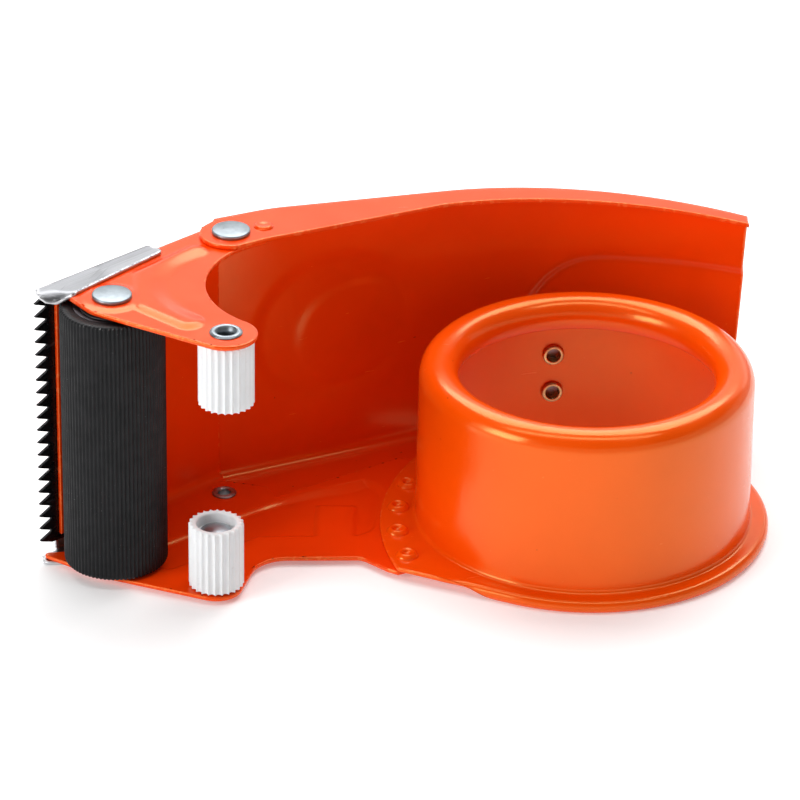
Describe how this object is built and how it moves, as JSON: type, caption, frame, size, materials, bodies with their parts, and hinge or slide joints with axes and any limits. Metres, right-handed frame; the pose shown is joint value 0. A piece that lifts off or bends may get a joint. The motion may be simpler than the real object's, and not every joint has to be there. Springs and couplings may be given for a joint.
{
  "type": "tape gun dispenser",
  "caption": "Hand-held packing tape dispenser with a core drum, a ribbed rubber roller, two guide rollers and a toothed blade.",
  "frame": {"origin": "on the drum's axis, in the plane the dispenser stands on", "axes": "+Z along the drum's axis, out of its open rim; +X from the blade towards the handle's free end; +Y towards the handle's back"},
  "size_m": [0.1627, 0.0956, 0.0687],
  "materials": {
    "paint": "gloss",
    "eyelet_brass": "aged",
    "spring_steel": "satin",
    "zinc_steel": "bright zinc",
    "dark_steel": "dull",
    "black_rubber": "matt",
    "tube_steel": "plain",
    "bush_plastic": "matt",
    "white_plastic": "satin",
    "black_steel": "black oxide",
    "stainless": "brushed"
  },
  "bodies": {
    "frame": {"front_frame": "paint", "handle": "paint", "hub": "paint", "hub_rivets": "paint", "hub_eyelets": "eyelet_brass", "spring_foot": "spring_steel", "top_rivet": "zinc_steel", "bottom_eyelet": "dark_steel", "roller_axle": "zinc_steel", "roller_washers": "zinc_steel", "upper_guide_stud": "zinc_steel", "lower_guide_stud": "zinc_steel", "guide_washers": "zinc_steel", "blade": "black_steel", "blade_guard": "stainless", "blade_screws": "zinc_steel"},
    "roller": {"roller_sleeve": "black_rubber", "roller_core": "tube_steel", "roller_bush_top": "bush_plastic", "roller_bush_bottom": "bush_plastic"},
    "upper_guide": {"upper_guide_roller": "white_plastic"},
    "lower_guide": {"lower_guide_roller": "white_plastic"},
    "spring": {"spring_leaf": "spring_steel"}
  },
  "joints": [
    {"name": "roller_spin", "type": "hinge", "parent": "frame", "child": "roller", "pos_m": [-0.1035, -0.0236, 0.0335], "axis": [0, 0, 1], "continuous": true},
    {"name": "upper_guide_spin", "type": "hinge", "parent": "frame", "child": "upper_guide", "pos_m": [-0.0784, -0.0389, 0.0569], "axis": [0, 0, 1], "continuous": true},
    {"name": "lower_guide_spin", "type": "hinge", "parent": "frame", "child": "lower_guide", "pos_m": [-0.0809, -0.0347, 0.0101], "axis": [0, 0, 1], "continuous": true},
    {"name": "spring_flex", "type": "hinge", "parent": "frame", "child": "spring", "pos_m": [-0.00188, 0.0384, 0.0191], "axis": [0, 0, -1], "range_deg": [0, 4], "stiffness_Nm_per_rad": 0.5}
  ]
}
